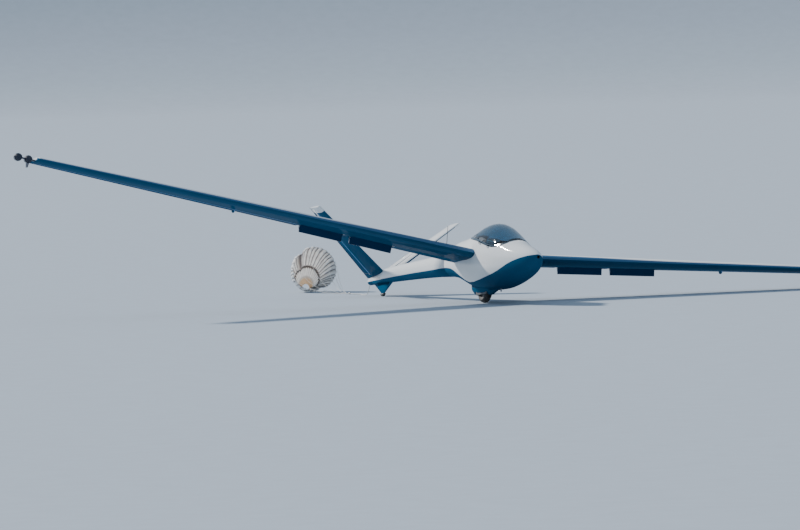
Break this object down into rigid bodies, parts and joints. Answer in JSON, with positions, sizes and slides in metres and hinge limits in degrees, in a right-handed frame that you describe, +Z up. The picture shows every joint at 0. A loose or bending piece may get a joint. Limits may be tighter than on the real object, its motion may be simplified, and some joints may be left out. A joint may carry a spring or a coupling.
{
  "type": "sailplane glider",
  "caption": "Single-seat aerobatic glider with a V tail, bubble canopy, trailing-edge airbrakes and a drag parachute, parked on its wheel, tail skid and left wing tip.",
  "frame": {"origin": "on the floor, under the middle of the box round the airframe; the drag parachute and its cords don't count", "axes": "+X towards the right wing tip, +Y towards the nose, +Z up from the floor. The airframe leans on its left wing tip and its tail skid, so its own axes are turned from these"},
  "size_m": [13.4804, 7.9283, 2.2103],
  "materials": {
    "coat": "glossy white coat over fibre-reinforced plastic, with blue-green trim underneath",
    "canopy_frame": "dark blue-grey gloss, seen as the tinted edge of the pane",
    "canopy_glass": "blue-tinted clear acrylic",
    "cockpit_grey": "matt grey laminate",
    "panel_black": "matt black",
    "dark_fitting": "satin dark paint, sooty",
    "steel": "bare and lightly oiled",
    "wheel_grey": "satin grey",
    "tyre": "matt black rubber",
    "skid_rubber": "matt black rubber",
    "cushion": "dark woven cover",
    "webbing": "blue woven webbing",
    "nylon": "off-white ribbon cloth and cord"
  },
  "bodies": {
    "airframe": {"fuselage_pod": "coat", "tail_boom": "coat", "drogue_container": "coat", "wing_left": "coat", "wing_right": "coat", "tailplane_left": "coat", "tailplane_right": "coat", "ventral_fin": "coat", "wheel_fairing": "coat", "seat_pan": "cockpit_grey", "baggage_shelf": "cockpit_grey", "instrument_panel": "panel_black", "control_stick": "panel_black", "nose_vent": "panel_black", "whip_antenna": "panel_black", "tip_bracket_left": "dark_fitting", "tip_bracket_right": "dark_fitting", "smoke_canister_left_inner": "dark_fitting", "smoke_canister_left_outer": "dark_fitting", "smoke_canister_right_inner": "dark_fitting", "smoke_canister_right_outer": "dark_fitting", "wheel_axle": "steel", "tow_hook": "steel", "rudder_pedals": "steel", "airbrake_lever": "steel", "drogue_anchor": "steel", "drogue_swivel": "steel", "wheel_box": "wheel_grey", "tail_skid": "skid_rubber", "headrest": "cushion", "harness": "webbing", "drogue_riser": "nylon", "drogue_lines": "nylon", "drogue_canopy": "nylon"},
    "wheel": {"wheel_hub": "wheel_grey", "main_tyre": "tyre"},
    "canopy": {"canopy_frame": "canopy_frame", "canopy_glass": "canopy_glass"},
    "airbrake_left_inner": {"airbrake_left_inner": "coat"},
    "airbrake_left_outer": {"airbrake_left_outer": "coat"},
    "airbrake_right_inner": {"airbrake_right_inner": "coat"},
    "airbrake_right_outer": {"airbrake_right_outer": "coat"},
    "aileron_left": {"aileron_left": "coat"},
    "aileron_right": {"aileron_right": "coat"},
    "ruddervator_left": {"ruddervator_left": "coat"},
    "ruddervator_right": {"ruddervator_right": "coat"}
  },
  "joints": [
    {"name": "wheel_spin", "type": "hinge", "parent": "airframe", "child": "wheel", "pos_m": [0.15061, 1.19585, 0.14907], "axis": [-0.9884, 0, -0.1518], "continuous": true},
    {"name": "canopy_open", "type": "hinge", "parent": "airframe", "child": "canopy", "pos_m": [0.34711, 1.75326, 0.7602], "axis": [0.0318, 0.9899, -0.1383], "range_deg": [0, 75]},
    {"name": "airbrake_left_inner_close", "type": "hinge", "parent": "airframe", "child": "airbrake_left_inner", "pos_m": [-1.119, 0.69831, 0.43281], "axis": [-0.9963, 0.0613, -0.0595], "range_deg": [0, 85]},
    {"name": "airbrake_left_outer_close", "type": "hinge", "parent": "airframe", "child": "airbrake_left_outer", "pos_m": [-1.8651, 0.74421, 0.38824], "axis": [-0.9963, 0.0613, -0.0596], "range_deg": [0, 85]},
    {"name": "airbrake_right_inner_close", "type": "hinge", "parent": "airframe", "child": "airbrake_right_inner", "pos_m": [1.88902, 0.73708, 0.95403], "axis": [-0.9683, -0.0613, -0.2423], "range_deg": [0, 85]},
    {"name": "airbrake_right_outer_close", "type": "hinge", "parent": "airframe", "child": "airbrake_right_outer", "pos_m": [2.62089, 0.78341, 1.13712], "axis": [-0.9683, -0.0613, -0.2422], "range_deg": [0, 85]},
    {"name": "aileron_left_turn", "type": "hinge", "parent": "airframe", "child": "aileron_left", "pos_m": [-2.62293, 0.82268, 0.35012], "axis": [-0.997, 0.0456, -0.0632], "range_deg": [-20, 20]},
    {"name": "aileron_right_turn", "type": "hinge", "parent": "airframe", "child": "aileron_right", "pos_m": [6.34949, 0.99273, 2.06335], "axis": [-0.97, -0.0456, -0.2389], "range_deg": [-20, 20]},
    {"name": "ruddervator_left_turn", "type": "hinge", "parent": "airframe", "child": "ruddervator_left", "pos_m": [0.0286, -2.60353, 0.29472], "axis": [-0.8564, -0.0041, 0.5162], "range_deg": [-25, 25]},
    {"name": "ruddervator_right_turn", "type": "hinge", "parent": "airframe", "child": "ruddervator_right", "pos_m": [1.01702, -2.60848, 1.22324], "axis": [-0.662, 0.0041, -0.7495], "range_deg": [-25, 25]}
  ],
  "couplings": [
    {"joint": "airbrake_left_outer_close", "follows": "airbrake_left_inner_close", "ratio": 1},
    {"joint": "airbrake_right_inner_close", "follows": "airbrake_left_inner_close", "ratio": 1},
    {"joint": "airbrake_right_outer_close", "follows": "airbrake_left_inner_close", "ratio": 1},
    {"joint": "aileron_right_turn", "follows": "aileron_left_turn", "ratio": -1}
  ]
}
